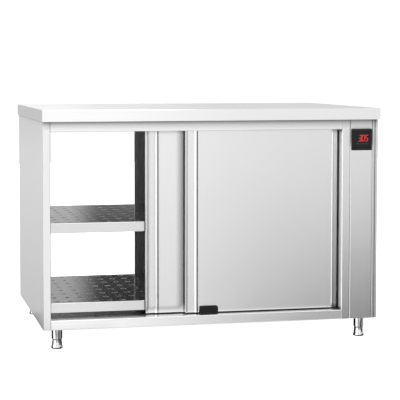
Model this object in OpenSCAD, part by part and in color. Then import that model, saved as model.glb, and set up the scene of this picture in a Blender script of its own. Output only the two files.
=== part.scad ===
// Heated plate cabinet in folded stainless sheet, open on both sides.
// The origin is on the floor under the middle of the worktop.
// +X runs to the control side, +Y to the rear doors and +Z up.

/* [Overall] */
// Length of the worktop
width = 1200; // [1000:10:1800]
// Depth of the worktop from front to rear
depth = 800; // [700:10:1000]
// Height from the floor to the worktop
height = 820; // [780:5:950]
// Height of the body's underside above the floor
leg_height = 70; // [64:1:150]
// Thickness of the stainless sheet
sheet = 1.2; // [0.8:0.1:1.5]
// Radius of the folds in the sheet
fold_r = 2; // [1.6:0.2:2.6]

/* [Worktop] */
// Height of the worktop's folded edge
edge_h = 40; // [30:1:60]
// Overhang of the worktop at the front and the rear
overhang = 15; // [5:1:30]
// Overhang of the worktop at each end
end_overhang = 3; // [2:1:20]
// Number of stiffening channels under the worktop
channel_count = 4; // [2:1:6]

/* [Body] */
// Width of the left post and wall
post_w = 26; // [20:1:40]
// Width of the jamb beside the control fascia
jamb_w = 29.5; // [20:0.5:40]
// Width of the control fascia
fascia_w = 83; // [78:1:120]
// Width of the right side panel's front return
return_w = 20; // [18:1:40]
// Visible height of the head rails
head_h = 35; // [25:1:60]
// Height of the sills
sill_h = 33; // [28:1:60]
// Height of the compartment floor above the underside
floor_h = 22; // [15:1:25]

/* [Doors] */
// Distance of the outer doors behind the body's face
door_recess = 35; // [32:1:45]
// Thickness of each door
door_t = 15; // [14:0.5:18]
// Clear gap between the two doors of a side
door_gap = 5; // [4:0.5:8]
// Overlap of the two doors when both are closed
door_overlap = 76.5; // [60:0.5:120]
// Gap under the doors
door_lift = 4; // [3.6:0.2:6]
// Width of the folded grip along a door's leading edge
grip_w = 38; // [32:1:50]
// Depth of the finger channel in the grip
grip_depth = 4.2; // [3.8:0.2:6]
// Rest gap between the front outer door and the jamb
outer_rest = 4.5; // [0:0.5:200]
// Rest distance of the front inner door from the left post
inner_rest = 339; // [200:1:400]
// Rest gap between the rear outer door and the jamb
rear_outer_rest = 2; // [0:1:200]
// Rest distance of the rear inner door from the left post
rear_inner_rest = 421; // [200:1:430]

/* [Door gear] */
// Radius of the roller at the bottom of its groove
roller_r = 9.7; // [8:0.1:11]
// Width of a roller
roller_w = 6; // [5:0.5:6]
// Running clearance between an axle and its roller
axle_fit = 0.05; // [0.03:0.01:0.09]
// Free gap between a roller and its track
roll_gap = 0.3; // [0.25:0.05:0.6]
// Radius of a roller's axle
axle_r = 2.5; // [2:0.1:3]
// Distance of each hanger from its door's end
hanger_inset = 85; // [70:1:150]
// Length of the plastic door guide
guide_len = 66; // [50:1:80]
// Height of the guide's cheeks above the sill
guide_h = 26; // [18:1:34]

/* [Shelves] */
// Height of the middle shelf's top above the floor
middle_z = 427; // [420:1:520]
// Height of the bottom shelf's top above the floor
bottom_z = 150; // [145:1:160]
// Height of the shelves' folded lips
lip_h = 35; // [25:1:36]
// Gap between a shelf's front edge and the inner door
shelf_gap = 6; // [4:1:12]
// Diameter of the holes in the shelves
hole_d = 12; // [8:0.5:16]
// Spacing of the holes along the shelf
pitch_x = 46; // [36:1:80]
// Spacing of the holes across the shelf
pitch_y = 80; // [50:1:100]

/* [Controller] */
// Side of the square glass face
glass_side = 75; // [70:1:78]
// Height of the glass face's middle above the floor
glass_z = 708; // [640:1:740]
// Thickness of the glass face
glass_t = 4; // [3:0.5:6]
// Side of the controller's housing
housing_side = 66; // [60:1:68]

/* [Heating] */
// Height of the fan's axis above the floor
fan_z = 272; // [262:1:282]
// Radius of the fan wheel
wheel_r = 74; // [60:1:78]
// Width of the fan wheel
wheel_w = 34; // [26:1:38]
// Radius of the heating ring
ring_r = 92; // [88:1:96]
// Radius of the heating tube
tube_r = 4.2; // [3:0.1:5]
// Radius of the fan's shaft
shaft_r = 4; // [3:0.5:5]

/* [Feet] */
// Distance of the feet from the worktop's ends
foot_inset_x = 54; // [50:1:100]
// Distance of the feet from the worktop's front and rear
foot_inset_y = 60; // [55:1:120]
// Radius of the leg sockets
leg_r = 18.5; // [16:0.5:24]
// Radius of the threaded stem
stem_r = 8; // [6:0.5:10]
// Height of the round foot below its stem
foot_h = 31; // [24:1:34]

/* [Hidden] */
$fn = 48;

// Body faces and the doorway between the left post and the jamb
face_x = width / 2 - end_overhang;
face_y = depth / 2 - overhang;
door_left = -face_x + post_w;
fascia_left = face_x - return_w - fascia_w;
door_right = fascia_left - jamb_w;
door_mid = (door_left + door_right) / 2;
under_z = leg_height;
lip_z = height - edge_h;
head_z = lip_z - head_h;
sill_z = under_z + sill_h;
floor_z = under_z + floor_h;
// The head rails' top flanges stand inside the worktop's edge
rail_z = height - sheet - 18.8;
// Length of the hems that close the posts
hem = 12;
// The tightest fold that the sheet takes
tight_r = sheet + 0.15;
// Door planes: y of the doors' front faces on the front side
outer_y = -face_y + door_recess;
inner_y = outer_y + door_t + door_gap;
gear_back_y = inner_y + door_t + 4;
door_w = (door_right - door_left + door_overlap) / 2;
door_z0 = sill_z + door_lift;
door_z1 = head_z + 15;
// Track and roller heights
ledge_z = door_z1 + 5;
ledge_t = 1.5;
bead_z = ledge_z + 2 * ledge_t;
roller_z = bead_z + roll_gap + roller_r;
flange_r = roller_r + 1.3;
roller_y = 7.3 + roller_w / 2;
// Depth of the shelves
shelf_y = -(inner_y + door_t + shelf_gap);
// The fan bay
bay_x = door_right + sheet;
box_x = 62;
box_y = 220;
box_z = 220;
wheel_x = bay_x + 8;
motor_x = bay_x + box_x;
foot_x = width / 2 - foot_inset_x;
foot_y = depth / 2 - foot_inset_y;
mid_fascia_x = fascia_left + fascia_w / 2;
steel = [0.80, 0.81, 0.82];
bright = [0.88, 0.89, 0.90];
black = [0.07, 0.07, 0.08];
grey = [0.45, 0.46, 0.48];

// A unit vector to the left of the line from a to b
function left_of(a, b) = [a[1] - b[1], b[0] - a[0]] / norm(b - a);
// The offset at a corner between two lines with left vectors a and b
function mitre(a, b) = (a + b) / (1 + a * b);
// The path moved to its left by t
function moved(p, t) = [for (i = [0 : len(p) - 1])
  let (j = max(i - 1, 0), k = min(i, len(p) - 2))
  p[i] + t * mitre(left_of(p[j], p[j + 1]), left_of(p[k], p[k + 1]))];
function unit(v) = v / norm(v);
// A point on the arc that rounds corner v, between unit directions a and b, from r
// along a (s = 0) to r along b (s = 1)
function bend(v, a, b, r, s) =
  let (half = acos(a * b) / 2, c = v + unit(a + b) * r / cos(half),
    turn = 180 - 2 * half)
  c + (sin((1 - s) * turn) * (v + a * r - c) + sin(s * turn) * (v + b * r - c))
    / sin(turn);
// The path with its inner corners rounded over the length r
function soft(p, r) = concat([p[0]],
  [for (i = [1 : len(p) - 2]) for (s = [0 : 0.25 : 1])
    bend(p[i], unit(p[i - 1] - p[i]), unit(p[i + 1] - p[i]), r, s)],
  [p[len(p) - 1]]);
function reversed(p) = [for (i = [len(p) - 1 : -1 : 0]) p[i]];

// The section of a folded sheet: p is its outer face, its thickness t lies to the left
module folded(p, t = sheet, r = fold_r) {
  q = soft(p, r);
  polygon(concat(q, reversed(moved(q, t))));
}

module along_x(x0, x1) {
  translate([x0, 0, 0])
    rotate([90, 0, 90])
      linear_extrude(x1 - x0) children();
}

module along_y(y0, y1) {
  translate([0, y1, 0])
    rotate([90, 0, 0])
      linear_extrude(y1 - y0) children();
}

module along_z(z0, z1) {
  translate([0, 0, z0])
    linear_extrude(z1 - z0) children();
}

// A box between two corners
module block(a, b) {
  translate(a)
    cube(b - a);
}

// A round bar along +X, +Y or +Z from point p
module bar_x(p, r, l) {
  translate(p)
    rotate([0, 90, 0])
      cylinder(r = r, h = l);
}

module bar_y(p, r, l) {
  translate(p)
    rotate([-90, 0, 0])
      cylinder(r = r, h = l);
}

module bar_z(p, r, l) {
  translate(p)
    cylinder(r = r, h = l);
}

// Turns a piece of the front side round to the rear side
module at_rear() {
  translate([2 * door_mid, 0, 0])
    rotate([0, 0, 180])
      children();
}

// ---- worktop ----

// The worktop's box with rounded top edges, smaller by g on its sides and lower by g
module rounded_slab(g) {
  hx = width / 2 - g;
  hy = depth / 2 - g;
  z0 = lip_z + g;
  z1 = height - g;
  r = 3.5 - g;
  intersection() {
    along_x(-hx, hx)
      polygon(soft([[-hy, z0], [-hy, z1], [hy, z1], [hy, z0]], r));
    along_y(-hy, hy)
      polygon(soft([[-hx, z0], [-hx, z1], [hx, z1], [hx, z0]], r));
  }
}

// A pan of sheet with folded edges and a return under them up to the body
module worktop() {
  color(bright)
    difference() {
      rounded_slab(0);
      rounded_slab(sheet);
      block([-face_x, -face_y, lip_z - 1], [face_x, face_y, lip_z + 2 * sheet]);
    }
}

// Channels between the head rails and the sheet
module worktop_stiffeners() {
  top = height - 2 * sheet;
  reach = face_y - 2;
  step = (door_right - door_left) / channel_count;
  color(steel)
    for (i = [0 : channel_count - 1])
      translate([door_left + (i + 0.5) * step, 0, 0])
        along_y(-reach, reach)
          folded([[-45, rail_z], [-25, rail_z], [-25, top], [25, top],
            [25, rail_z], [45, rail_z]]);
}

// ---- body ----

// A post section: a web with a front and a rear face and hems, w wide, open to +X
module post_section(w) {
  folded([[w, face_y - hem], [w, face_y], [0, face_y], [0, -face_y], [w, -face_y],
    [w, -face_y + hem]]);
}

module left_side_panel() {
  color(steel)
    along_z(under_z, lip_z)
      translate([-face_x, 0, 0])
        post_section(post_w);
}

// The compartment's left wall closes the side panel between its hems
module left_inner_wall() {
  y = face_y - hem;
  color(steel)
    along_z(floor_z, lip_z - 1)
      folded([[door_left - 17, -y], [door_left, -y], [door_left, y],
        [door_left - 17, y]]);
}

// The end wall of the control bay, with a stepped fold beside the fascia
module right_side_panel() {
  x0 = face_x - return_w;
  x1 = face_x - 12;
  x2 = x1 + 3.6;
  y0 = face_y - hem;
  y1 = face_y - 0.5;
  y2 = face_y - 1.8;
  color(steel)
    along_z(under_z, lip_z)
      folded([[x0, -y0], [x0, -face_y], [x1, -y1], [x2, -y2], [face_x, -y2],
        [face_x, y2], [x2, y2], [x1, y1], [x0, face_y], [x0, y0]], sheet, tight_r);
}

// Holes for the four screws through the grille, the partition and the heater box
module grille_holes(x) {
  for (s = [-1, 1])
    for (t = [-1, 1])
      bar_x([x, s * (box_y / 2 + 12), fan_z + t * 80], 2.2, 5);
}

// The wall between the compartment and the control bay, with the jambs
module partition_wall() {
  color(steel)
    difference() {
      along_z(under_z, lip_z)
        translate([door_right, 0, 0])
          post_section(jamb_w);
      block([door_right - 1, -face_y + 20, under_z - 1],
        [door_right + 3, face_y - 20, under_z + sheet]);
      bar_x([door_right - 1, 0, fan_z], ring_r + 10, 4);
      bar_x([door_right - 1, -150, fan_z + 60], 3.3, 4);
      grille_holes(door_right - 1);
    }
}

// The plain panel that carries the controller
module control_fascia() {
  x0 = fascia_left + 0.5;
  x1 = fascia_left + fascia_w - 0.5;
  y = -face_y;
  cut = housing_side / 2 + 0.4;
  color(steel) {
    difference() {
      along_z(under_z, lip_z - 0.5)
        folded([[x0, y + 15], [x0, y], [x1, y], [x1, y + 15]]);
      block([mid_fascia_x - cut, y - 1, glass_z - cut],
        [mid_fascia_x + cut, y + 4, glass_z + cut]);
    }
    block([x0 + fold_r, y + 0.4, under_z], [x1 - fold_r, y + 20, under_z + sheet]);
  }
}

// Positions of the rear fascia's screws along its height
function screw_heights() = [under_z + 30, (under_z + lip_z) / 2, lip_z - 30];

// The service panel at the rear, with slots for the motor's cooling air
module rear_fascia() {
  x0 = fascia_left + 0.5;
  x1 = fascia_left + fascia_w - 0.5;
  y = face_y;
  color(steel) {
    difference() {
      along_z(under_z, lip_z - 0.5)
        folded([[x1, y - 15], [x1, y], [x0, y], [x0, y - 15]]);
      for (i = [0 : 8])
        block([x0 + 20, y - 4, under_z + 150 + 14 * i], [x1 - 20, y + 1, under_z + 154 + 14 * i]);
      bar_y([mid_fascia_x, y - 4, under_z + 70], 10.2, 6);
      for (z = screw_heights())
        for (x = [x0 + 8, x1 - 8])
          bar_y([x, y - 4, z], 2.2, 6);
    }
    block([x0 + fold_r, y - 20, under_z], [x1 - fold_r, y - 0.4, under_z + sheet]);
  }
}

// The closed underside, with round holes for the leg sockets
module base_panel() {
  y = face_y - 20;
  color(steel)
    difference() {
      along_x(-face_x + sheet, face_x - sheet)
        folded([[-y, under_z + 14], [-y, under_z], [y, under_z], [y, under_z + 14]]);
      for (sx = [-1, 1])
        for (sy = [-1, 1])
          bar_z([sx * foot_x, sy * foot_y, under_z - 1], leg_r + 0.3, 4);
      block([door_right - 0.3, -y - 1, under_z + sheet], [bay_x + 0.3, y + 1, under_z + 15]);
    }
}

// The compartment's floor under the shelves
module floor_panel() {
  y = -gear_back_y + 2;
  color(steel)
    along_x(door_left, door_right)
      folded([[y, under_z + sheet], [y, floor_z], [-y, floor_z], [-y, under_z + sheet]]);
}

// The member under the doors
module front_sill() {
  y0 = -face_y;
  y1 = gear_back_y;
  color(steel)
    difference() {
      along_x(door_left, door_right)
        folded([[y1, floor_z], [y1, sill_z], [y0, sill_z], [y0, under_z],
          [y0 + 20, under_z]]);
      for (s = [-1, 1])
        bar_z([guide_mid() + s * 20, guide_y(), sill_z - 3], 4.2, 4);
    }
}

module rear_sill() {
  at_rear()
    front_sill();
}

// The member above the doors hides their rollers
module front_head_rail() {
  y0 = -face_y;
  lip = outer_y - 4;
  color(steel)
    along_x(door_left, door_right)
      folded([[gear_back_y, rail_z], [y0, rail_z], [y0, head_z], [lip, head_z],
        [lip, head_z + 6]]);
}

module rear_head_rail() {
  at_rear()
    front_head_rail();
}

// The compartment's ceiling hangs between the head rails' top flanges
module ceiling_panel() {
  y = gear_back_y;
  z = head_z + 12;
  color(steel)
    along_x(door_left, door_right)
      folded([[y, rail_z], [y, z], [-y, z], [-y, rail_z]]);
}

// ---- door gear ----

// A track's section, with y from its door's front face
module track_section() {
  t = rail_z - sheet;
  u = ledge_z + ledge_t;
  b = roller_y;
  w = door_t + 2.5;
  polygon([[-1, t], [w + 1, t], [w + 1, t - 1.5], [w, t - 1.5], [w, ledge_z],
    [8, ledge_z], [8, u], [b - 1, u], [b - 1, bead_z], [b + 1, bead_z], [b + 1, u],
    [w - 1.5, u], [w - 1.5, t - 1.5], [-1, t - 1.5]]);
}

// Two tracks, one for each door of a side
module front_door_tracks() {
  color(grey)
    for (y = [outer_y, inner_y])
      along_x(door_left, door_right)
        translate([y, 0])
          track_section();
}

module rear_door_tracks() {
  at_rear()
    front_door_tracks();
}

// The guide holds both doors where they always overlap it
function guide_mid() = door_right - door_w + door_overlap / 2 + 41;
function guide_y() = outer_y + door_t + door_gap / 2;

// A plastic comb with a cheek on each side of each door's foot
module front_door_guide() {
  z0 = sill_z;
  z1 = sill_z + door_lift - 0.8;
  z2 = sill_z + guide_h;
  a = outer_y - 0.5;
  b = outer_y + door_t + 0.5;
  c = inner_y - 0.5;
  d = inner_y + door_t + 0.5;
  x0 = guide_mid() - guide_len / 2;
  x1 = guide_mid() + guide_len / 2;
  color(black) {
    intersection() {
      along_x(x0, x1)
        polygon([[a - 3.5, z0], [gear_back_y, z0], [gear_back_y, z2], [d, z2], [d, z1],
          [c, z1], [c, z2], [b, z2], [b, z1], [a, z1], [a, z2], [a - 3.5, z2]]);
      along_y(a - 4, gear_back_y + 1)
        polygon(soft([[x0, z0], [x0, z2], [x1, z2], [x1, z0]], 6));
    }
    for (s = [-1, 1])
      bar_z([guide_mid() + s * 20, guide_y(), sill_z - 6], 4, 6.5);
  }
}

module rear_door_guide() {
  at_rear()
    front_door_guide();
}

// ---- doors, drawn with x from the left edge and y from the front face ----

// One sheet folded into the side flange, the lip, the finger channel and its ridge, the
// panel and the set-back strip at the trailing edge
module door_skin() {
  g = grip_w;
  back = door_t - sheet;
  color(steel)
    along_z(door_z0, door_z1)
      folded([[0, back], [0, 0], [7, 0.6], [7.4, grip_depth], [g - 4.2, grip_depth],
        [g, 0.5], [g + 2 * tight_r + 0.2, 0.5], [g + 6.8, 2.8], [door_w - 22, 2.8],
        [door_w - 18.2, 4], [door_w, 5.6], [door_w, back]], sheet, tight_r);
}

// The door's inner sheet with its top and bottom flanges
module door_back() {
  f = 8.6;
  color(steel)
    difference() {
      along_x(0, door_w)
        folded([[f, door_z0], [door_t, door_z0], [door_t, door_z1], [f, door_z1]]);
      for (x = [-1, door_w - 1.5])
        block([x, 0, door_z0 - 1], [x + 2.5, door_t - sheet, door_z1 + 1]);
    }
}

// Each hanger is a bent strip with a riveted axle
module door_hangers() {
  r = door_t - sheet;
  color(grey)
    for (x = [hanger_inset, door_w - hanger_inset]) {
      along_x(x - 18, x + 18)
        folded([[r, door_z1 - 60], [r, door_z1 - 22], [7, door_z1 - 22],
          [7, roller_z + 8]], 2, 2.4);
      bar_y([x, 6.5, roller_z], axle_r, roller_w + 1.8);
      bar_y([x, 7.6 + roller_w, roller_z], 4, 1.2);
    }
}

// A grooved plastic roller on hanger number i
module door_roller(i) {
  x = i == 0 ? hanger_inset : door_w - hanger_inset;
  h = roller_w / 2;
  color([0.85, 0.85, 0.82])
    translate([x, roller_y, roller_z])
      rotate([90, 0, 0])
        rotate_extrude()
          polygon([[axle_r + axle_fit, -h], [flange_r, -h], [flange_r, -1.9],
            [roller_r, -1.5], [roller_r, 1.5], [flange_r, 1.9], [flange_r, h],
            [axle_r + axle_fit, h]]);
}

module front_outer() {
  translate([door_right - outer_rest - door_w, outer_y, 0])
    children();
}

module front_inner() {
  translate([door_left + inner_rest, inner_y, 0])
    children();
}

module rear_outer() {
  at_rear()
    translate([door_left + rear_outer_rest, outer_y, 0])
      children();
}

module rear_inner() {
  at_rear()
    translate([door_right - door_w - rear_inner_rest, inner_y, 0])
      children();
}

// ---- shelves ----

// A perforated shelf with lips along the front and the rear
module shelf(z) {
  y = shelf_y;
  x0 = door_left + 2;
  x1 = door_right - 2;
  nx = floor((x1 - x0 - 60) / pitch_x);
  ny = floor((2 * y - 50) / pitch_y);
  color(bright)
    difference() {
      along_x(x0, x1)
        folded([[y - 12, z - lip_h], [y, z - lip_h], [y, z], [-y, z], [-y, z - lip_h],
          [12 - y, z - lip_h]]);
      along_z(z - 3, z + 1)
        for (i = [0 : nx])
          for (j = [0 : ny])
            translate([door_mid + (i - nx / 2) * pitch_x, (j - ny / 2) * pitch_y])
              circle(d = hole_d);
    }
}

module middle_shelf() {
  shelf(middle_z);
}

module bottom_shelf() {
  shelf(bottom_z);
}

// Angle strips on both walls carry the shelves
module shelf_brackets() {
  reach = shelf_y - 20;
  color(steel)
    for (z = [middle_z - sheet, bottom_z - sheet]) {
      along_y(-reach, reach)
        folded([[door_left + 22, z], [door_left, z], [door_left, z - 24]], 1.5);
      along_y(-reach, reach)
        folded([[door_right, z - 24], [door_right, z], [door_right - 22, z]], 1.5);
    }
}

// ---- controller ----

module controller_housing() {
  h = housing_side / 2;
  y = -face_y;
  color(black)
    difference() {
      block([mid_fascia_x - h, y, glass_z - h], [mid_fascia_x + h, y + 55, glass_z + h]);
      block([mid_fascia_x - h + 2, y + 8, glass_z - h + 2],
        [mid_fascia_x + h - 2, y + 56, glass_z + h - 2]);
    }
}

// The square face with softly rounded corners
module controller_glass() {
  h = glass_side / 2;
  x = mid_fascia_x;
  z = glass_z;
  color(black)
    along_y(-face_y - glass_t, -face_y)
      polygon(soft([[x, z - h], [x + h, z - h], [x + h, z + h], [x - h, z + h],
        [x - h, z - h], [x - 1, z - h]], 2));
}

// ---- heating, in the bay behind the partition ----

module heater_box() {
  x0 = bay_x;
  x1 = bay_x + box_x;
  y = box_y / 2;
  z0 = fan_z - box_z / 2;
  z1 = fan_z + box_z / 2;
  color(steel)
    difference() {
      union() {
        block([x0, -y, z0], [x1, y, z1]);
        block([x0, -y - 14, z0], [x0 + sheet, y + 14, z1]);
      }
      block([x0 - 1, -y + sheet, z0 + sheet], [x1 - sheet, y - sheet, z1 - sheet]);
      bar_x([x1 - 3, 0, fan_z], 12, 5);
      for (s = [-1, 1])
        bar_x([x1 - 3, s * 20, fan_z + ring_r - 1.6], tube_r, 5);
      grille_holes(x0 - 1);
    }
}

// A ring round the fan wheel with its two ends led out at the top
module heater_element() {
  xa = wheel_x + 12;
  xb = wheel_x + 26;
  color(grey) {
    for (x = [xa, xb])
      translate([x, 0, fan_z])
        rotate([0, 90, 0])
          rotate_extrude()
            translate([ring_r, 0])
              circle(r = tube_r);
    bar_x([xa - 2, 0, fan_z + ring_r], tube_r, xb - xa + 4);
    for (s = [-1, 1])
      bar_x([xb - 2, s * 20, fan_z + ring_r - 1.6], tube_r - 0.6, motor_x - xb + 22);
    block([motor_x - sheet - 3, -34, fan_z + ring_r - 9], [motor_x - sheet, 34, fan_z + ring_r + 6]);
  }
}

// The motor's body, its plate on the box and the bearing for the shaft
module fan_motor() {
  color(grey)
    difference() {
      union() {
        block([motor_x, -45, fan_z - 45], [motor_x + 3, 45, fan_z + 45]);
        bar_x([motor_x + 3, 0, fan_z], 36, 40);
        bar_x([motor_x + 42, 0, fan_z], 14, 8);
      }
      bar_x([motor_x - 1, 0, fan_z], shaft_r + axle_fit, 32);
    }
}

// A wheel with forward blades between a disc and a rim, on its shaft
module fan_impeller() {
  r = wheel_r;
  w = wheel_w;
  color(steel)
    translate([wheel_x, 0, fan_z])
      rotate([0, 90, 0]) {
        difference() {
          translate([0, 0, w - 2])
            cylinder(r = r, h = 2);
          for (a = [0 : 60 : 300])
            rotate([0, 0, a])
              translate([r * 0.45, 0, w - 3])
                cylinder(r = r * 0.11, h = 4);
        }
        rotate_extrude()
          polygon([[r - 14, 0], [r, 0], [r, 1.5], [r - 14, 1.5]]);
        for (a = [0 : 20 : 340])
          rotate([0, 0, a])
            translate([r - 12, 0, 1])
              rotate([0, 0, 35])
                translate([-1, -0.6, 0])
                  cube([11, 1.2, w - 2]);
        translate([0, 0, w - 16])
          cylinder(r = 11, h = 20);
        cylinder(r = shaft_r, h = box_x + 18);
      }
}

// A shallow cover over the fan's opening, with a round field of holes and side slots
module fan_grille() {
  x1 = door_right;
  x0 = x1 - 11;
  y = box_y / 2 + 5;
  z0 = fan_z - box_z / 2 + 4;
  z1 = fan_z + box_z / 2 - 6;
  color(steel)
    difference() {
      union() {
        block([x0, -y, z0], [x1, y, z1]);
        block([x1 - sheet, -y - 14, z0], [x1, y + 14, z1]);
      }
      block([x0 + sheet, -y + sheet, z0 + sheet], [x1 + 1, y - sheet, z1 - sheet]);
      bar_x([x0 - 1, 0, fan_z], 3, 4);
      for (k = [1 : 5])
        for (a = [0 : 60 / k : 359])
          bar_x([x0 - 1, k * 12 * cos(a), fan_z + k * 12 * sin(a)], 3.6, 4);
      for (s = [-1, 1])
        for (i = [-3 : 3])
          block([x0 + 3, s * y - 3, fan_z + 26 * i - 9], [x1 - 3, s * y + 3, fan_z + 26 * i + 9]);
      grille_holes(x1 - 3);
    }
}

module safety_thermostat() {
  z = fan_z + box_z / 2;
  color([0.82, 0.80, 0.74]) {
    bar_z([bay_x + 30, 60, z], 12, 3);
    bar_z([bay_x + 30, 60, z + 2.5], 9, 9);
    for (s = [-1, 1])
      block([bay_x + 29.6, 60 + s * 5 - 3, z + 11], [bay_x + 30.4, 60 + s * 5 + 3, z + 19]);
  }
}

// A sheathed sensor through the partition with its collar and nut
module temperature_probe() {
  p = [door_right, -150, fan_z + 60];
  color(grey) {
    bar_x(p - [38, 0, 0], 3, 80);
    bar_x(p - [3, 0, 0], 7, 3);
    translate(p + [sheet, 0, 0])
      rotate([0, 90, 0])
        cylinder(r = 8, h = 6, $fn = 6);
  }
}

// A row of six terminals on the base
module terminal_block() {
  x0 = bay_x + 30;
  y0 = face_y - 145;
  z0 = under_z + sheet;
  color([0.82, 0.80, 0.74])
    difference() {
      block([x0, y0, z0], [x0 + 24, y0 + 66, z0 + 20]);
      for (i = [0 : 5]) {
        bar_z([x0 + 7, y0 + 8 + 10 * i, z0 + 8], 3, 13);
        bar_z([x0 + 17, y0 + 8 + 10 * i, z0 + 8], 3, 13);
      }
    }
}

// The cable gland: collar and dome nut outside, thread and lock nut inside
module mains_gland() {
  p = [mid_fascia_x, face_y, under_z + 70];
  color(black)
    translate(p)
      rotate([-90, 0, 0])
        difference() {
          union() {
            cylinder(r = 13, h = 4, $fn = 6);
            rotate_extrude()
              polygon([[0, 3.5], [11.5, 3.5], [11.5, 9], [8, 13.5], [0, 13.5]]);
            translate([0, 0, -12])
              cylinder(r = 9.8, h = 13);
            translate([0, 0, -sheet - 4])
              cylinder(r = 13, h = 4, $fn = 6);
          }
          translate([0, 0, -13])
            cylinder(r = 5, h = 28);
        }
}

// A screw with a round head, standing along its +Z from the sheet's face
module screw() {
  rotate_extrude()
    polygon([[0, -8], [2, -8], [2, 0], [3.9, 0], [3.9, 1.2], [2.6, 2.4], [0, 2.4]]);
}

module panel_screws() {
  x0 = fascia_left + 8.5;
  x1 = fascia_left + fascia_w - 8.5;
  g = box_y / 2 + 12;
  color(grey) {
    for (z = screw_heights())
      for (x = [x0, x1])
        translate([x, face_y, z])
          rotate([-90, 0, 0])
            screw();
    for (s = [-1, 1])
      for (t = [-1, 1])
        translate([door_right - sheet, s * g, fan_z + t * 80])
          rotate([0, -90, 0])
            screw();
  }
}

// ---- legs ----

// A tube with a threaded bush, welded to a plate on the base
module leg_sockets() {
  z0 = foot_h + 2;
  z1 = under_z + sheet;
  color(bright)
    for (sx = [-1, 1])
      for (sy = [-1, 1])
        translate([sx * foot_x, sy * foot_y, 0])
          difference() {
            union() {
              rotate_extrude()
                polygon([[stem_r + axle_fit, z0], [leg_r - 1.5, z0], [leg_r, z0 + 1.5],
                  [leg_r, z1 + 2.5], [leg_r - 2, z1 + 2.5], [leg_r - 2, z0 + 16],
                  [stem_r + axle_fit, z0 + 16]]);
              translate([-22, -22, z1])
                cube([44, 44, 2.5]);
            }
            translate([0, 0, z1 - 1])
              cylinder(r = stem_r + 3, h = 5);
          }
}

// A turned foot and its stem, which screws in and out of its socket
module foot(sx, sy) {
  h = foot_h;
  r = leg_r;
  color(bright)
    translate([sx * foot_x, sy * foot_y, 0])
      rotate_extrude()
        polygon([[0, 0], [r - 0.8, 0], [r + 1.2, 2], [r + 1.6, 4.5], [r + 0.9, 8],
          [r - 0.9, h - 17], [r - 2, h - 9], [r - 2.2, h - 1.5], [r - 3.6, h],
          [stem_r, h],
          [stem_r, under_z + 8], [stem_r - 1.5, under_z + 10], [0, under_z + 10]]);
}

worktop();
worktop_stiffeners();
left_side_panel();
left_inner_wall();
right_side_panel();
partition_wall();
control_fascia();
rear_fascia();
base_panel();
floor_panel();
front_sill();
rear_sill();
front_head_rail();
rear_head_rail();
ceiling_panel();
front_door_tracks();
rear_door_tracks();
front_door_guide();
rear_door_guide();
middle_shelf();
bottom_shelf();
shelf_brackets();
controller_housing();
controller_glass();
heater_box();
heater_element();
fan_motor();
fan_grille();
safety_thermostat();
temperature_probe();
terminal_block();
mains_gland();
panel_screws();
leg_sockets();
fan_impeller();
foot(-1, -1);  // foot_front_left
foot(1, -1);  // foot_front_right
foot(-1, 1);  // foot_rear_left
foot(1, 1);  // foot_rear_right
front_inner() door_skin();  // front_inner_skin
front_inner() door_back();  // front_inner_back
front_inner() door_hangers();  // front_inner_hangers
front_outer() door_skin();  // front_outer_skin
front_outer() door_back();  // front_outer_back
front_outer() door_hangers();  // front_outer_hangers
rear_inner() door_skin();  // rear_inner_skin
rear_inner() door_back();  // rear_inner_back
rear_inner() door_hangers();  // rear_inner_hangers
rear_outer() door_skin();  // rear_outer_skin
rear_outer() door_back();  // rear_outer_back
rear_outer() door_hangers();  // rear_outer_hangers
front_inner() door_roller(0);  // front_inner_roller_a
front_inner() door_roller(1);  // front_inner_roller_b
front_outer() door_roller(0);  // front_outer_roller_a
front_outer() door_roller(1);  // front_outer_roller_b
rear_inner() door_roller(0);  // rear_inner_roller_a
rear_inner() door_roller(1);  // rear_inner_roller_b
rear_outer() door_roller(0);  // rear_outer_roller_a
rear_outer() door_roller(1);  // rear_outer_roller_b
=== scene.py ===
import math

import bmesh
import bpy
from mathutils import Matrix, Vector


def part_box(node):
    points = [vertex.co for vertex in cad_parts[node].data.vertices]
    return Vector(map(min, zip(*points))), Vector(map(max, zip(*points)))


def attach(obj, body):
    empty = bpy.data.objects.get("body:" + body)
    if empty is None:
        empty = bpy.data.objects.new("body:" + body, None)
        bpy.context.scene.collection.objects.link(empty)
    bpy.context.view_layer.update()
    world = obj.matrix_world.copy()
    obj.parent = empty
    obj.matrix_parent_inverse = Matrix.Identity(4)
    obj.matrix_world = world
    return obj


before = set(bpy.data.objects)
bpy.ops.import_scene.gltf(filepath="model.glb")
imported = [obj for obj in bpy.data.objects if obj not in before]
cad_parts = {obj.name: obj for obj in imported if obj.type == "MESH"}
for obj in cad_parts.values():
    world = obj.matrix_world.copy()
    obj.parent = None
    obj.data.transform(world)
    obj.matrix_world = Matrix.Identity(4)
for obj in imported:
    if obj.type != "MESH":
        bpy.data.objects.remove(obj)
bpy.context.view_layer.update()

# ---- underside and floor of the compartment ----
# The closed underside, the compartment's floor and the channels under the worktop are
# folded from 1.2 mm stainless sheet with a dull mill finish. The sheet's rolling lines run
# along the cabinet.

# How fine the rolling lines are across and along them, how much wider the streaks between
# them are, and how deep a line is
ACROSS = 700.0
ALONG = 5.0
STREAK_SCALE = 0.3
LINE_DEPTH = 0.0002
GRAIN = {"x": (ALONG, ACROSS, ACROSS), "z": (ACROSS, ACROSS, ALONG)}

# Soft shade next to what stands over a sheet: how far it reaches, how steeply it falls off,
# how dark it is, and the heights between which it sets in under the worktop
SHADE_REACH = 0.032
SHADE_POWER = 2.6
SHADE_TONE = (0.02,) * 3
UNDER_WORKTOP = (0.68, 0.72)


def new_finish(name):
    """A new material with its node tree and its one shader."""
    finish = bpy.data.materials.new(name)
    finish.use_nodes = True
    return finish, finish.node_tree, finish.node_tree.nodes["Principled BSDF"]


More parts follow.
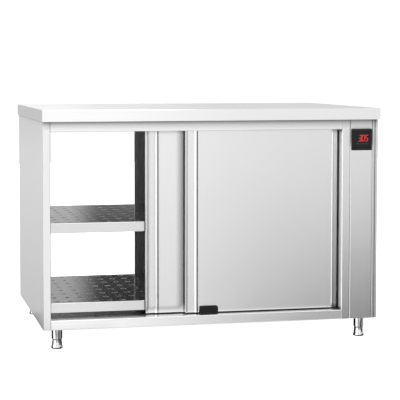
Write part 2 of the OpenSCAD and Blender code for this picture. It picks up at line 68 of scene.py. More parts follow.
def object_axes(tree):
    """The three Object coordinates, as the outputs X, Y and Z."""
    place = tree.nodes.new("ShaderNodeTexCoord")
    axes = tree.nodes.new("ShaderNodeSeparateXYZ")
    tree.links.new(place.outputs["Object"], axes.inputs["Vector"])
    return axes.outputs


def object_noise(tree, scale, detail=3.0, at=(0.0, 0.0, 0.0), distortion=0.0):
    """Noise on Object coordinates, stretched by scale, as the noise node."""
    place = tree.nodes.new("ShaderNodeTexCoord")
    stretch = tree.nodes.new("ShaderNodeMapping")
    stretch.inputs["Location"].default_value = at
    stretch.inputs["Scale"].default_value = scale
    noise = tree.nodes.new("ShaderNodeTexNoise")
    noise.inputs["Scale"].default_value = 1.0
    noise.inputs["Detail"].default_value = detail
    noise.inputs["Distortion"].default_value = distortion
    tree.links.new(place.outputs["Object"], stretch.inputs["Vector"])
    tree.links.new(stretch.outputs["Vector"], noise.inputs["Vector"])
    return noise


def spread(tree, value, low, high, start=0.3, end=0.7):
    """The value from start to end mapped on to low to high."""
    ranged = tree.nodes.new("ShaderNodeMapRange")
    ranged.inputs["From Min"].default_value = start
    ranged.inputs["From Max"].default_value = end
    ranged.inputs["To Min"].default_value = low
    ranged.inputs["To Max"].default_value = high
    tree.links.new(value, ranged.inputs["Value"])
    return ranged.outputs["Result"]


def between(tree, value, first, second):
    """A colour between first and second by value, each a tuple or a socket."""
    mix = tree.nodes.new("ShaderNodeMix")
    mix.data_type = "RGBA"
    for side, colour in (("A", first), ("B", second)):
        if isinstance(colour, tuple):
            mix.inputs[side].default_value = (*colour, 1.0)
        else:
            tree.links.new(colour, mix.inputs[side])
    tree.links.new(value, mix.inputs["Factor"])
    return mix.outputs["Result"]


def grooves(tree, shader, value, strength, distance):
    """Fine relief from value, laid over the relief that the shader already has."""
    bump = tree.nodes.new("ShaderNodeBump")
    bump.inputs["Strength"].default_value = strength
    bump.inputs["Distance"].default_value = distance
    tree.links.new(value, bump.inputs["Height"])
    if shader.inputs["Normal"].is_linked:
        tree.links.new(shader.inputs["Normal"].links[0].from_socket, bump.inputs["Normal"])
    tree.links.new(bump.outputs["Normal"], shader.inputs["Normal"])


def times(tree, first, second, operation="MULTIPLY"):
    """One step of arithmetic on two values, each a socket or a number."""
    step = tree.nodes.new("ShaderNodeMath")
    step.operation = operation
    for socket, value in zip(step.inputs, (first, second)):
        if isinstance(value, (int, float)):
            socket.default_value = value
        else:
            tree.links.new(value, socket)
    return step.outputs[0]


def plus(tree, first, second):
    """The sum of two values."""
    return times(tree, first, second, "ADD")


def minus(tree, first, second):
    """The first value less the second."""
    return times(tree, first, second, "SUBTRACT")


def sheet_finish(name, tone, rough, grain, cloud=0.012, relief=0.02, wave=0.0004, shade=None):
    """Stainless sheet: rolling lines along one axis and slow waves. The two heights in shade
    are those between which soft shade sets in, next to what stands over the sheet."""
    finish, tree, shader = new_finish(name)
    lines = object_noise(tree, GRAIN[grain], 4.0)
    wide = tuple(scale * STREAK_SCALE for scale in GRAIN[grain])
    streaks = object_noise(tree, wide, 2.0, (3.1, 1.7, 0.4))
    clouds = object_noise(tree, (3.0, 3.0, 3.0), 2.0, (0.7, 2.2, 1.3))
    both = times(tree, plus(tree, streaks.outputs["Fac"], clouds.outputs["Fac"]), 0.5)
    low = (tone * (1.0 - cloud),) * 3
    high = (min(tone * (1.0 + cloud), 1.0),) * 3
    colour = between(tree, spread(tree, both, 0.0, 1.0, 0.35, 0.65), low, high)
    if shade:
        over = tree.nodes.new("ShaderNodeAmbientOcclusion")
        over.inputs["Distance"].default_value = SHADE_REACH
        open_share = times(tree, over.outputs["AO"], SHADE_POWER, "POWER")
        below = spread(tree, object_axes(tree)["Z"], 1.0, 0.0, *shade)
        open_share = times(tree, open_share, below, "MAXIMUM")
        colour = between(tree, open_share, SHADE_TONE, colour)
    tree.links.new(colour, shader.inputs["Base Color"])
    dull = spread(tree, lines.outputs["Fac"], rough * 0.92, rough * 1.08)
    tree.links.new(dull, shader.inputs["Roughness"])
    grooves(tree, shader, clouds.outputs["Fac"], 1.0, wave)
    grooves(tree, shader, lines.outputs["Fac"], relief, LINE_DEPTH)
    shader.inputs["Metallic"].default_value = 1.0
    return finish


def dress(finish, *names):
    """Gives CAD nodes their finish."""
    for name in names:
        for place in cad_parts[name].material_slots:
            place.material = finish


mill_sheet = sheet_finish("mill_finish_sheet", 0.68, 0.32, "x", cloud=0.04)
dress(mill_sheet, "base_panel", "ceiling_panel", "worktop_stiffeners")
floor_sheet = sheet_finish("floor_sheet", 0.92, 0.16, "x")
dress(floor_sheet, "floor_panel")

# ---- legs ----
# Round tubes with threaded bushes are welded to plates on the base. Turned and
# chromium-plated feet screw into them, and their fine rings are left by the lathe.


def plated_finish(name, tone, rough):
    """Bright plating over turned steel, with rings round the upright axis."""
    finish, tree, shader = new_finish(name)
    rings = object_noise(tree, (2.0, 2.0, 2600.0), 3.0)
    haze = object_noise(tree, (60.0, 60.0, 60.0), 2.0)
    tree.links.new(spread(tree, haze.outputs["Fac"], rough * 0.6, rough * 1.5),
                   shader.inputs["Roughness"])
    colour = between(tree, spread(tree, haze.outputs["Fac"], 0.0, 1.0),
                     (tone * 0.96,) * 3, (tone * 1.03,) * 3)
    tree.links.new(colour, shader.inputs["Base Color"])
    grooves(tree, shader, rings.outputs["Fac"], 0.06, 0.0001)
    shader.inputs["Metallic"].default_value = 1.0
    return finish


plated = plated_finish("plated_feet", 0.80, 0.07)
dress(plated, "foot_front_left", "foot_front_right", "foot_rear_left", "foot_rear_right")
socket_tube = plated_finish("socket_tube", 0.74, 0.14)
dress(socket_tube, "leg_sockets")

# ---- side panels and the compartment's walls ----
# The two ends are single sheets folded round into the front and rear posts. The inner wall
# and the partition line the compartment, with the rolling lines upright.

SHEET = 0.0012
JAMB_ROUGH = 0.19
DOOR_SIDE_ROUGH = 0.48
# How far the painted shade in the gap behind the doors reaches, and how steeply it falls off
PAINTED_GAP_SHADE_REACH = 0.015
PAINTED_GAP_SHADE_POWER = 3.0

side_sheet = sheet_finish("side_sheet", 0.79, 0.25, "z", shade=UNDER_WORKTOP)
dress(side_sheet, "left_side_panel", "right_side_panel")
jamb_sheet = sheet_finish("jamb_sheet", 0.78, JAMB_ROUGH, "z", shade=UNDER_WORKTOP)
tree = jamb_sheet.node_tree
shader = tree.nodes["Principled BSDF"]
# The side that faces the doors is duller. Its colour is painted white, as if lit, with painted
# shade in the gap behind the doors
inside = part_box("partition_wall")[0].x + SHEET
door_side = spread(tree, object_axes(tree)["X"], 1.0, 0.0, inside - 0.0001, inside + 0.0001)
over = tree.nodes.new("ShaderNodeAmbientOcclusion")
over.inputs["Distance"].default_value = PAINTED_GAP_SHADE_REACH
painted_gap_shade = times(tree, over.outputs["AO"], PAINTED_GAP_SHADE_POWER, "POWER")
# The door side's colour: painted white as if lit, darkened by painted shade next to the doors
painted_lit_side = between(tree, painted_gap_shade, SHADE_TONE, (1.0,) * 3)
colour = shader.inputs["Base Color"]
tree.links.new(between(tree, door_side, colour.links[0].from_socket, painted_lit_side), colour)
dull = spread(tree, door_side, JAMB_ROUGH, DOOR_SIDE_ROUGH, 0.0, 1.0)
tree.links.new(dull, shader.inputs["Roughness"])
dress(jamb_sheet, "partition_wall")
wall_sheet = sheet_finish("wall_sheet", 0.68, 0.28, "z", cloud=0.03)
dress(wall_sheet, "left_inner_wall", "shelf_brackets")

# ---- sills and head rails ----
# Folded members close the body over and under the doors. They are bright sheet with the
# rolling lines along them.

rail_sheet = sheet_finish("rail_sheet", 0.86, 0.25, "x", shade=UNDER_WORKTOP)
dress(rail_sheet, "front_head_rail", "rear_head_rail")
sill_sheet = sheet_finish("sill_sheet", 0.90, 0.22, "x")
dress(sill_sheet, "front_sill", "rear_sill")

# ---- door tracks ----
# Tracks rolled from zinc-plated strip hang under the head rails, and the rollers run in
# their beads. Zinc plating is a little cloudy and less bright than stainless.


def zinc_finish(name, tone, rough):
    """Zinc plating: soft clouds of tone and roughness."""
    finish, tree, shader = new_finish(name)
    clouds = object_noise(tree, (45.0, 45.0, 45.0), 4.0, distortion=0.6)
    grains = object_noise(tree, (1500.0, 1500.0, 1500.0), 2.0)
    shade = spread(tree, clouds.outputs["Fac"], 0.0, 1.0)
    colour = between(tree, shade, (tone * 0.90, tone * 0.91, tone * 0.93),
                     (tone * 1.04, tone * 1.04, tone * 1.02))
    tree.links.new(colour, shader.inputs["Base Color"])
    tree.links.new(spread(tree, clouds.outputs["Fac"], rough * 0.8, rough * 1.25),
                   shader.inputs["Roughness"])
    grooves(tree, shader, grains.outputs["Fac"], 0.10, 0.0001)
    shader.inputs["Metallic"].default_value = 1.0
    return finish


zinc_strip = zinc_finish("zinc_strip", 0.58, 0.34)
dress(zinc_strip, "front_door_tracks", "rear_door_tracks")

# ---- door guides ----
# A black moulded comb on each sill keeps the doors' feet in line. The moulding has a fine
# matt grain.


def moulded_finish(name, dark, light, rough, relief=0.25):
    """Moulded plastic with a fine grain from the tool."""
    finish, tree, shader = new_finish(name)
    grains = object_noise(tree, (2200.0, 2200.0, 2200.0), 3.0)
    clouds = object_noise(tree, (25.0, 25.0, 25.0), 2.0)
    shade = spread(tree, clouds.outputs["Fac"], 0.0, 1.0)
    tree.links.new(between(tree, shade, dark, light), shader.inputs["Base Color"])
    tree.links.new(spread(tree, grains.outputs["Fac"], rough * 0.85, rough * 1.2),
                   shader.inputs["Roughness"])
    grooves(tree, shader, grains.outputs["Fac"], relief, 0.0001)
    return finish


black_moulding = moulded_finish("black_moulding", (0.004, 0.004, 0.0045),
                                (0.008, 0.008, 0.009), 0.45)
moulding_shader = black_moulding.node_tree.nodes["Principled BSDF"]
moulding_shader.inputs["Specular IOR Level"].default_value = 0.2
dress(black_moulding, "front_door_guide", "rear_door_guide")

# ---- sliding doors ----
# Each door is an outer skin folded with the finger channel at its leading edge, an inner
# sheet set into it, two zinc-plated hangers and two grooved nylon rollers.

DOORS = ("front_inner", "front_outer", "rear_inner", "rear_outer")

# The strip along the trailing edge is painted darker than the face as shade, most of all at its
# foot
EDGE_STRIP = 0.0185
STRIP_BLUR = 0.0004
STRIP_SHADE_FOOT = (0.20,) * 3
STRIP_SHADE_HEAD = (0.56,) * 3
# The heights between which the outer door's shade sets in on the inner one
BEHIND_DOOR = (0.11, 0.15)

for door in DOORS:
    low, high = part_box(f"{door}_skin")
    shade = BEHIND_DOOR if "inner" in door else None
    door_sheet = sheet_finish(f"{door}_sheet", 0.80, 0.23, "z", shade=shade)
    tree = door_sheet.node_tree
    colour = tree.nodes["Principled BSDF"].inputs["Base Color"]
    axes = object_axes(tree)
    start = high.x - EDGE_STRIP if "front" in door else low.x + EDGE_STRIP
    blur = STRIP_BLUR if "front" in door else -STRIP_BLUR
    painted_shade_strip = spread(tree, axes["X"], 0.0, 1.0, start - blur, start + blur)
    climb = spread(tree, axes["Z"], 0.0, 1.0, low.z, high.z)
    # Painted shade on the trailing strip, darkest at its foot
    strip_painted_shade = between(tree, climb, STRIP_SHADE_FOOT, STRIP_SHADE_HEAD)
    tree.links.new(between(tree, painted_shade_strip, colour.links[0].from_socket, strip_painted_shade), colour)
    dress(door_sheet, f"{door}_skin")
door_lining = sheet_finish("door_lining", 0.74, 0.28, "z", cloud=0.03)
dress(door_lining, *(f"{door}_back" for door in DOORS))
dress(zinc_strip, *(f"{door}_hangers" for door in DOORS))
nylon = moulded_finish("nylon_roller", (0.74, 0.73, 0.69), (0.84, 0.83, 0.79), 0.42, 0.12)
dress(nylon, *(f"{door}_roller_{end}" for door in DOORS for end in "ab"))

# ---- shelves ----
# Two shelves of bright annealed sheet with punched holes, nearly as smooth as a mirror.
# The sheet is never quite flat, so what it mirrors wavers a little.

# The grid of the holes: its steps, the place of its middle, and the radii between which a
# hole's rim is drawn in
HOLE_STEP = (0.046, 0.080)
HOLE_MIDDLE = (-0.05325, 0.0)
HOLE_RIM = (0.0070, 0.0105)
# How dark the painted shade on a hole's rim is, and how much rougher the rim is
RIM_PAINTED_SHADE = 0.45
RIM_ROUGH = 0.45


def diagonal(tree, first, second):
    """The diagonal of a rectangle with these two sides."""
    squares = [times(tree, side, 2.0, "POWER") for side in (first, second)]
    return times(tree, plus(tree, *squares), 0.5, "POWER")


def from_hole(tree):
    """The distance of a point on a shelf from the middle of the nearest hole."""
    axes = object_axes(tree)
    sides = []
    for axis, step, middle in zip("XY", HOLE_STEP, HOLE_MIDDLE):
        along = times(tree, minus(tree, axes[axis], middle), 1.0 / step)
        off = minus(tree, times(tree, along, 0.0, "FRACT"), 0.5)
        sides.append(times(tree, off, step))
    return diagonal(tree, *sides)


def bright_finish(name, tone, rough):
    """Bright annealed sheet: smooth, with slow waves, faint rolling lines and punched holes
    whose edges are drawn in and matt, each rim darkened with painted shade."""
    finish, tree, shader = new_finish(name)
    waves = object_noise(tree, (7.0, 11.0, 11.0), 2.0)
    lines = object_noise(tree, GRAIN["x"], 3.0)
    shade = spread(tree, waves.outputs["Fac"], 0.0, 1.0)
    rim = spread(tree, from_hole(tree), 1.0, 0.0, *HOLE_RIM)
    colour = between(tree, shade, (tone * 0.97,) * 3, (tone * 1.02,) * 3)
    # Painted shade on each hole's rim
    rim_shaded_colour = between(tree, rim, colour, (tone * RIM_PAINTED_SHADE,) * 3)
    tree.links.new(rim_shaded_colour, shader.inputs["Base Color"])
    dull = spread(tree, lines.outputs["Fac"], rough * 0.75, rough * 1.3)
    tree.links.new(plus(tree, dull, times(tree, rim, RIM_ROUGH)), shader.inputs["Roughness"])
    grooves(tree, shader, waves.outputs["Fac"], 0.02, 0.004)
    grooves(tree, shader, minus(tree, 1.0, rim), 1.0, 0.0008)
    shader.inputs["Metallic"].default_value = 1.0
    return finish


shelf_sheet = bright_finish("shelf_sheet", 0.62, 0.12)
dress(shelf_sheet, "middle_shelf", "bottom_shelf")

# ---- heating in the control bay ----
# The fan, its ring element and their box stand behind the partition, under a punched
# cover. The box and the fan wheel are galvanised, and the element's sheath is heat tinted.


def galvanised_finish(name, tone, rough):
    """Galvanised sheet with its flat crystals."""
    finish, tree, shader = new_finish(name)
    place = tree.nodes.new("ShaderNodeTexCoord")
    flakes = tree.nodes.new("ShaderNodeTexVoronoi")
    flakes.inputs["Scale"].default_value = 110.0
    tree.links.new(place.outputs["Object"], flakes.inputs["Vector"])
    grey = tree.nodes.new("ShaderNodeRGBToBW")
    tree.links.new(flakes.outputs["Color"], grey.inputs["Color"])
    colour = between(tree, grey.outputs["Val"], (tone * 0.86, tone * 0.88, tone * 0.90),
                     (tone * 1.06, tone * 1.07, tone * 1.07))
    tree.links.new(colour, shader.inputs["Base Color"])
    tree.links.new(spread(tree, grey.outputs["Val"], rough * 0.8, rough * 1.3, 0.0, 1.0),
                   shader.inputs["Roughness"])
    shader.inputs["Metallic"].default_value = 1.0
    return finish


galvanised = galvanised_finish("galvanised_sheet", 0.60, 0.34)
dress(galvanised, "heater_box", "fan_impeller")
dress(wall_sheet, "fan_grille")
motor_casting = zinc_finish("motor_casting", 0.46, 0.45)
dress(motor_casting, "fan_motor")
dress(zinc_finish("probe_tube", 0.66, 0.22), "temperature_probe")

heat_tint, tree, shader = new_finish("heat_tinted_tube")
tints = object_noise(tree, (30.0, 30.0, 30.0), 3.0, distortion=0.8)
shade = spread(tree, tints.outputs["Fac"], 0.0, 1.0)
tree.links.new(between(tree, shade, (0.20, 0.17, 0.15), (0.30, 0.29, 0.31)),
               shader.inputs["Base Color"])
tree.links.new(spread(tree, tints.outputs["Fac"], 0.38, 0.58), shader.inputs["Roughness"])
grooves(tree, shader, tints.outputs["Fac"], 0.15, 0.0004)
shader.inputs["Metallic"].default_value = 0.8
dress(heat_tint, "heater_element")

# ---- thermostat and terminals ----
# The safety thermostat and the terminal row have bodies of cream ceramic, fired without
# a glaze. They stand inside the bay.

cream_ceramic = moulded_finish("cream_ceramic", (0.62, 0.58, 0.48), (0.72, 0.68, 0.58),
                               0.55, 0.3)
dress(cream_ceramic, "safety_thermostat", "terminal_block")

# ---- control bay's covers ----
# The plain front panel carries the controller, and the rear panel has the air slots, the
# cable gland and six screws. Both are folded from the same sheet as the doors.

fascia_sheet = sheet_finish("fascia_sheet", 0.78, 0.19, "z", shade=UNDER_WORKTOP)
dress(fascia_sheet, "control_fascia", "rear_fascia")
dress(zinc_finish("screw_plating", 0.66, 0.24), "panel_screws")
dress(black_moulding, "mains_gland")

# ---- controller ----
# A square panel instrument: a moulded housing behind the sheet and a smoked glass face
# with rounded corners in front. Under the glass glow three red figures and four small
# signs.

dress(black_moulding, "controller_housing")

smoked_glass, tree, shader = new_finish("smoked_glass")
smoke = object_noise(tree, (30.0, 30.0, 30.0), 2.0)
tree.links.new(between(tree, spread(tree, smoke.outputs["Fac"], 0.0, 1.0),
                       (0.004, 0.004, 0.005), (0.009, 0.009, 0.010)),
               shader.inputs["Base Color"])
tree.links.new(spread(tree, smoke.outputs["Fac"], 0.05, 0.09), shader.inputs["Roughness"])
shader.inputs["IOR"].default_value = 1.5
shader.inputs["Specular IOR Level"].default_value = 0.2
dress(smoked_glass, "controller_glass")

GLASS_LOW, GLASS_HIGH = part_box("controller_glass")
GLASS_MID = (GLASS_LOW + GLASS_HIGH) / 2
GLASS_FRONT = GLASS_LOW.y
# How far a shape stands before the glass and how far it reaches into it
PROUD = 0.00015
SUNK = 0.00005


def add_piece(name, mesh_maker, body, finish):
    """A new object from a bmesh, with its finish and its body."""
    mesh = bpy.data.meshes.new(name)
    mesh_maker.to_mesh(mesh)
    mesh_maker.free()
    mesh.materials.append(finish)
    piece = bpy.data.objects.new(name, mesh)
    bpy.context.scene.collection.objects.link(piece)
    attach(piece, body)


def thicken(shape, faces, thickness):
    """Gives flat faces a thickness towards the back."""
    made = bmesh.ops.extrude_face_region(shape, geom=faces)
    back = [v for v in made["geom"] if isinstance(v, bmesh.types.BMVert)]
    bmesh.ops.translate(shape, vec=(0.0, thickness, 0.0), verts=back)


def raised_shape(shape, corners):
    """Adds a flat shape with the given corners (x, z) on the glass, and a small thickness."""
    ring = [shape.verts.new((x, GLASS_FRONT - PROUD, z)) for x, z in corners]
    thicken(shape, [shape.faces.new(ring)], PROUD + SUNK)


def bar_corners(start, end, width):
    """Six corners of a pointed bar from start to end."""
    a, b = Vector(start), Vector(end)
    way = (b - a).normalized()
    side = Vector((-way.y, way.x)) * width / 2
    tip = way * width / 2
    return [a, a + tip + side, b - tip + side, b, b - tip - side, a + tip - side]


DIGIT_W = 0.0088
DIGIT_H = 0.0205
DIGIT_STEP = 0.0125
DIGITS_OFF = 0.0055
STROKE = 0.0012
BAR_GAP = 0.0004
SLANT = 0.17
# The seven bars of a figure: top, upper right, lower right, foot, lower left, upper left and
# middle
BARS = (
    ((0.0, 1.0), (1.0, 1.0)),
    ((1.0, 1.0), (1.0, 0.5)),
    ((1.0, 0.5), (1.0, 0.0)),
    ((1.0, 0.0), (0.0, 0.0)),
    ((0.0, 0.0), (0.0, 0.5)),
    ((0.0, 0.5), (0.0, 1.0)),
    ((0.0, 0.5), (1.0, 0.5)),
)
FIGURES = {"3": (0, 1, 2, 3, 6), "0": (0, 1, 2, 3, 4, 5), "5": (0, 5, 6, 2, 3)}


def glow_finish(name, dim, lit, strength):
    """Lit segments, their colour varying a little at random between dim and lit."""
    finish, tree, shader = new_finish(name)
    flicker = object_noise(tree, (500.0, 500.0, 500.0), 2.0)
    colour = between(tree, spread(tree, flicker.outputs["Fac"], 0.0, 1.0), dim, lit)
    tree.links.new(colour, shader.inputs["Base Color"])
    tree.links.new(colour, shader.inputs["Emission Color"])
    shader.inputs["Emission Strength"].default_value = strength
    shader.inputs["Roughness"].default_value = 0.3
    return finish


figures = bmesh.new()
for place, sign in enumerate("305"):
    x0 = GLASS_MID.x + DIGITS_OFF + (place - 1) * DIGIT_STEP - DIGIT_W / 2
    z0 = GLASS_MID.z + DIGITS_OFF - DIGIT_H / 2
    for bar in FIGURES[sign]:
        (ax, az), (bx, bz) = BARS[bar]
        gap = Vector((bx - ax, bz - az)).normalized() * BAR_GAP
        start = Vector((ax * DIGIT_W, az * DIGIT_H)) + gap
        end = Vector((bx * DIGIT_W, bz * DIGIT_H)) - gap
        corners = bar_corners(start, end, STROKE)
        raised_shape(figures, [(x0 + p.x + (p.y - DIGIT_H / 2) * SLANT, z0 + p.y)
                               for p in corners])
bmesh.ops.recalc_face_normals(figures, faces=figures.faces)
add_piece("display_figures", figures, "cabinet",
          glow_finish("red_segments", (0.85, 0.02, 0.015), (1.0, 0.06, 0.04), 0.75))

# Each sign is a ring with a tick in it, turned by an eighth more from one to the next
SIGN_RADII = (0.0024, 0.0017)
SIGN_STEP = 0.0105
FIRST_SIGN = (-0.0145, -0.0140)
SIGN_PROUD = 0.00012
SIGN_DEPTH = 0.00016
TICK_HALF = 0.0005
TICK_STRETCH = 2.2

signs = bmesh.new()
for place in range(4):
    middle = (GLASS_MID.x + FIRST_SIGN[0] + place * SIGN_STEP, GLASS_MID.z + FIRST_SIGN[1], 0.0)
    ring = []
    for radius in SIGN_RADII:
        ring += bmesh.ops.create_circle(signs, cap_ends=False, radius=radius,
                                        segments=16)["verts"]
    bmesh.ops.translate(signs, vec=middle, verts=ring)
    bmesh.ops.bridge_loops(signs, edges=list({e for v in ring for e in v.link_edges}))
    tick = bmesh.ops.create_grid(signs, x_segments=1, y_segments=1, size=TICK_HALF)["verts"]
    turn = Matrix.Rotation(math.radians(45 * place), 4, "Z")
    bmesh.ops.scale(signs, vec=(1.0, TICK_STRETCH, 1.0), verts=tick)
    bmesh.ops.rotate(signs, cent=(0, 0, 0), matrix=turn, verts=tick)
    bmesh.ops.translate(signs, vec=middle, verts=tick)
bmesh.ops.rotate(signs, cent=(0, 0, 0), matrix=Matrix.Rotation(math.pi / 2, 4, "X"),
                 verts=signs.verts)
bmesh.ops.translate(signs, vec=(0.0, GLASS_FRONT - SIGN_PROUD, 0.0), verts=signs.verts)
thicken(signs, list(signs.faces), SIGN_DEPTH)
bmesh.ops.recalc_face_normals(signs, faces=signs.faces)
add_piece("display_signs", signs, "cabinet",
          glow_finish("dim_signs", (0.05, 0.05, 0.05), (0.08, 0.08, 0.085), 0.10))

# ---- worktop ----
# One sheet folded down on all sides, ground and brushed again at its corners. Its top
# keeps the rolling lines along the cabinet.

worktop_sheet = sheet_finish("worktop_sheet", 0.81, 0.13, "x")
dress(worktop_sheet, "worktop")

# ---- studio floor ----
# A plain pale floor under the cabinet. Mirrored rays pass through it, so that the sheet mirrors
# the even studio. They meet only a painted shadow under the cabinet, a painted shadow strip in
# front of it and a painted shadow disc round each foot.

HALF_LENGTH = 0.60
HALF_DEPTH = 0.40
# How far the shadow ends inside the worktop's ends and before its long edges, and its blur
SHADOW_SHORT = 0.05
SHADOW_PAST = 0.06
SHADOW_BLUR = 0.04
# The painted shadow strip's near and far edge, measured from the worktop's edge, and where it
# starts at each side of the middle
SHADOW_STRIP_NEAR = (0.10, 0.16)
SHADOW_STRIP_FAR = (0.27, 0.33)
SHADOW_STRIP_SHARE = 0.55
SHADOW_STRIP_SIDES = (-0.30, -0.24)
FRONT_BLUR = 0.02
# The foot's middle, measured from the worktop's corner, and the edge of its painted shadow disc
FOOT_IN = (0.054, 0.060)
FOOT_SHADOW_DISC = (0.030, 0.040)
FLOOR_HALF = 9.0
FLOOR_TOP = -0.0004
# The floor's own light for other rays and for the camera
FLOOR_GLOW = (0.35, 0.98)

floor_mesh = bpy.data.meshes.new("studio_floor")
floor_shape = bmesh.new()
bmesh.ops.create_grid(floor_shape, x_segments=1, y_segments=1, size=FLOOR_HALF)
bmesh.ops.translate(floor_shape, vec=(0.0, 0.0, FLOOR_TOP), verts=floor_shape.verts)
floor_shape.to_mesh(floor_mesh)
floor_shape.free()
floor = bpy.data.objects.new("studio_floor", floor_mesh)
bpy.context.scene.collection.objects.link(floor)
pale, tree, shader = new_finish("pale_floor")
shader.inputs["Base Color"].default_value = (0.80, 0.80, 0.80, 1.0)
shader.inputs["Roughness"].default_value = 0.9
shader.inputs["Specular IOR Level"].default_value = 0.0
shader.inputs["Emission Color"].default_value = (1.0, 1.0, 1.0, 1.0)
rays = tree.nodes.new("ShaderNodeLightPath")
tree.links.new(spread(tree, rays.outputs["Is Camera Ray"], *FLOOR_GLOW, 0.0, 1.0),
               shader.inputs["Emission Strength"])
axes = object_axes(tree)
off_x = minus(tree, times(tree, axes["X"], 0.0, "ABSOLUTE"), HALF_LENGTH)
off_y = minus(tree, times(tree, axes["Y"], 0.0, "ABSOLUTE"), HALF_DEPTH)
beside = times(tree, minus(tree, off_x, SHADOW_SHORT), plus(tree, off_y, SHADOW_PAST),
               "MAXIMUM")
away = spread(tree, beside, 0.0, 1.0, 0.0, SHADOW_BLUR)
# The painted shadow strip in front of the cabinet, then the painted shadow discs round the feet
painted_shade_strip = times(tree, spread(tree, off_y, 0.0, SHADOW_STRIP_SHARE, *SHADOW_STRIP_NEAR),
              spread(tree, off_y, 1.0, 0.0, *SHADOW_STRIP_FAR))
by_the_feet = times(tree, spread(tree, off_x, 0.0, 1.0, *SHADOW_STRIP_SIDES),
                    spread(tree, axes["Y"], 1.0, 0.0, -FRONT_BLUR, FRONT_BLUR))
away = times(tree, away, minus(tree, 1.0, times(tree, painted_shade_strip, by_the_feet)))
from_foot = diagonal(tree, plus(tree, off_x, FOOT_IN[0]), plus(tree, off_y, FOOT_IN[1]))
away = times(tree, away, spread(tree, from_foot, 0.0, 1.0, *FOOT_SHADOW_DISC))
shadow = tree.nodes.new("ShaderNodeBsdfDiffuse")
shadow.inputs["Color"].default_value = (0.03, 0.03, 0.03, 1.0)
clear = tree.nodes.new("ShaderNodeBsdfTransparent")
mirrored = tree.nodes.new("ShaderNodeMixShader")
tree.links.new(away, mirrored.inputs["Fac"])
tree.links.new(shadow.outputs["BSDF"], mirrored.inputs[1])
tree.links.new(clear.outputs["BSDF"], mirrored.inputs[2])
choose = tree.nodes.new("ShaderNodeMixShader")
tree.links.new(rays.outputs["Is Glossy Ray"], choose.inputs["Fac"])
tree.links.new(shader.outputs["BSDF"], choose.inputs[1])
tree.links.new(mirrored.outputs["Shader"], choose.inputs[2])
tree.links.new(choose.outputs["Shader"], tree.nodes["Material Output"].inputs["Surface"])
floor_mesh.materials.append(pale)

# ---- studio light ----
# A white room, brightest at the left in front of the cabinet. Low down it darkens towards
# the right, dark flags stand at both sides, and one wide soft light hangs over it. The
# camera sees plain white behind the cabinet.

# The room's light, what deep down replaces it, its least value, and what the camera sees
ROOM_LEVEL = 0.80
DEEP_LEVEL = 0.80
DARKEST = 0.03
SEEN_LEVEL = 1.05
LAMP_TARGET = Vector((0.0, 0.0, 0.4))

world = bpy.data.worlds.new("white_room")
bpy.context.scene.world = world
world.use_nodes = True
tree = world.node_tree
sky = tree.nodes["Background"]
way = tree.nodes.new("ShaderNodeTexCoord")
axes = tree.nodes.new("ShaderNodeSeparateXYZ")
tree.links.new(way.outputs["Generated"], axes.inputs["Vector"])
right, back, up = (axes.outputs[axis] for axis in "XYZ")


def eased(value, start, end, share=1.0):
    """A soft step of the value from 0 at start to share at end."""
    soft = tree.nodes.new("ShaderNodeMapRange")
    soft.interpolation_type = "SMOOTHSTEP"
    soft.inputs["From Min"].default_value = start
    soft.inputs["From Max"].default_value = end
    soft.inputs["To Max"].default_value = share
    tree.links.new(value, soft.inputs["Value"])
    return soft.outputs["Result"]


def product(*shares):
    """The product of several values."""
    result = shares[0]
    for share in shares[1:]:
        result = times(tree, result, share)
    return result


def less(value, *shares):
    """The value without the product of the shares."""
    return times(tree, value, minus(tree, 1.0, product(*shares)))


ahead = eased(back, 0.1, -0.3)
behind = eased(back, 0.0, 0.4)
not_far_right = eased(right, 0.74, 0.62)
left_of_middle = eased(right, 0.04, -0.06)
aside = times(tree, spread(tree, right, 0.0, 1.0, 0.212, 0.582), 0.5, "POWER")
shelf_dark = plus(tree, eased(right, 0.135, 0.160, 0.35), 0.64)
beyond = times(tree, eased(right, -0.28, -0.20), eased(right, -0.42, -0.52), "MAXIMUM")
off_panel = times(tree, eased(right, -0.24, -0.34), eased(right, 0.04, 0.14), "MAXIMUM")

level = plus(tree, ROOM_LEVEL, eased(right, 0.26, 0.17, 0.19))
level = plus(tree, level, eased(right, 0.60, 0.28, 0.23))
level = plus(tree, level, times(tree, eased(right, -0.50, -0.75, 0.80), ahead))

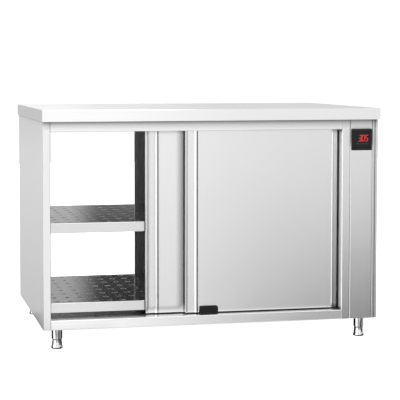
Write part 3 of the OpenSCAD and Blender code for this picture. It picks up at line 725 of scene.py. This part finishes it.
# The darker parts of the room. Each takes off the product of its soft steps.
flags = (
    # in front, left of the middle
    (eased(right, 0.05, -0.02, 0.18), eased(right, -0.62, -0.42), ahead),
    # in front at the right, below the horizon, darker in steps downwards
    (aside, eased(up, -0.08, -0.21, 1.45), not_far_right, ahead),
    (eased(right, 0.17, 0.30), eased(up, -0.160, -0.185, 0.85), not_far_right, ahead),
    (eased(right, 0.20, 0.34), eased(up, -0.186, -0.21, 0.75), ahead),
    (eased(right, 0.31, 0.36), eased(up, -0.09, -0.18, 0.55), not_far_right, ahead),
    # in front at the left, darker downwards
    (eased(right, -0.30, -0.42), eased(right, -0.72, -0.60), eased(up, 0.10, -0.22, 0.75),
     ahead),
    # behind, just above the horizon, where the shelves mirror it
    (shelf_dark, eased(up, 0.055, 0.085), eased(up, 0.50, 0.25),
     eased(right, -0.05, 0.10), eased(back, 0.5, 0.9)),
    # behind at the left, below the horizon, where the left side mirrors it
    (left_of_middle, 0.38, beyond, eased(up, -0.28, -0.21), behind),
    (left_of_middle, 0.22, eased(right, -0.28, -0.20), behind, eased(up, -0.055, -0.040)),
    (left_of_middle, beyond, eased(up, -0.03, -0.20, 0.30), behind),
    # behind, a low band beside the cabinet
    (eased(up, -0.178, -0.188, 0.95), eased(up, -0.30, -0.23), off_panel,
     eased(right, 0.62, 0.50), eased(back, -0.15, 0.05)),
    # upright flags: far left behind, and far right in front
    (eased(right, -0.40, -0.55, 0.93), eased(back, -0.08, 0.10), eased(up, 0.24, 0.12),
     eased(up, -0.40, -0.30)),
    (eased(right, 0.68, 0.76, 0.97), eased(back, -0.02, -0.10), eased(up, -0.186, -0.176),
     eased(up, 0.25, 0.12)),
)
for flag in flags:
    level = less(level, *flag)

deep = eased(up, -0.28, -0.42)
level = plus(tree, times(tree, level, minus(tree, 1.0, deep)), times(tree, deep, DEEP_LEVEL))
level = times(tree, level, DARKEST, "MAXIMUM")
rays = tree.nodes.new("ShaderNodeLightPath")
seen = tree.nodes.new("ShaderNodeMix")
seen.data_type = "FLOAT"
tree.links.new(rays.outputs["Is Camera Ray"], seen.inputs["Factor"])
tree.links.new(level, seen.inputs["A"])
seen.inputs["B"].default_value = SEEN_LEVEL
sky.inputs["Color"].default_value = (1.0, 1.0, 1.0, 1.0)
tree.links.new(seen.outputs["Result"], sky.inputs["Strength"])

soft_box = bpy.data.lights.new("soft_box", "AREA")
soft_box.shape = "RECTANGLE"
soft_box.size = 3.2
soft_box.size_y = 2.4
soft_box.energy = 60.0
lamp = bpy.data.objects.new("soft_box", soft_box)
bpy.context.scene.collection.objects.link(lamp)
lamp.location = (-1.2, -1.6, 3.2)
lamp.rotation_euler = (LAMP_TARGET - lamp.location).to_track_quat("-Z", "Y").to_euler()

bpy.context.scene.view_settings.view_transform = "Standard"

# ---- camera ----
# It stands a little to the left of the cabinet, just above the worktop, with a long lens.

# The focal length in pixels of the photograph, which is 400 of them wide
FOCAL_PIXELS = 1370.73
PHOTO_PIXELS = 400.0
SENSOR = 36.0
LOOK_DOWN = 0.057
LOOK_RIGHT = 0.214

camera_data = bpy.data.cameras.new("camera")
camera_data.sensor_width = SENSOR
camera_data.lens = FOCAL_PIXELS / PHOTO_PIXELS * SENSOR
camera_data.shift_x = 0.07
camera_data.shift_y = -0.13
camera_data.clip_start = 0.05
camera_data.clip_end = 60.0
camera = bpy.data.objects.new("camera", camera_data)
camera.location = (-1.1502, -4.9808, 0.9550)
camera.rotation_euler = (math.pi / 2 - LOOK_DOWN, 0.0, -LOOK_RIGHT)
bpy.context.scene.collection.objects.link(camera)
bpy.context.scene.camera = camera
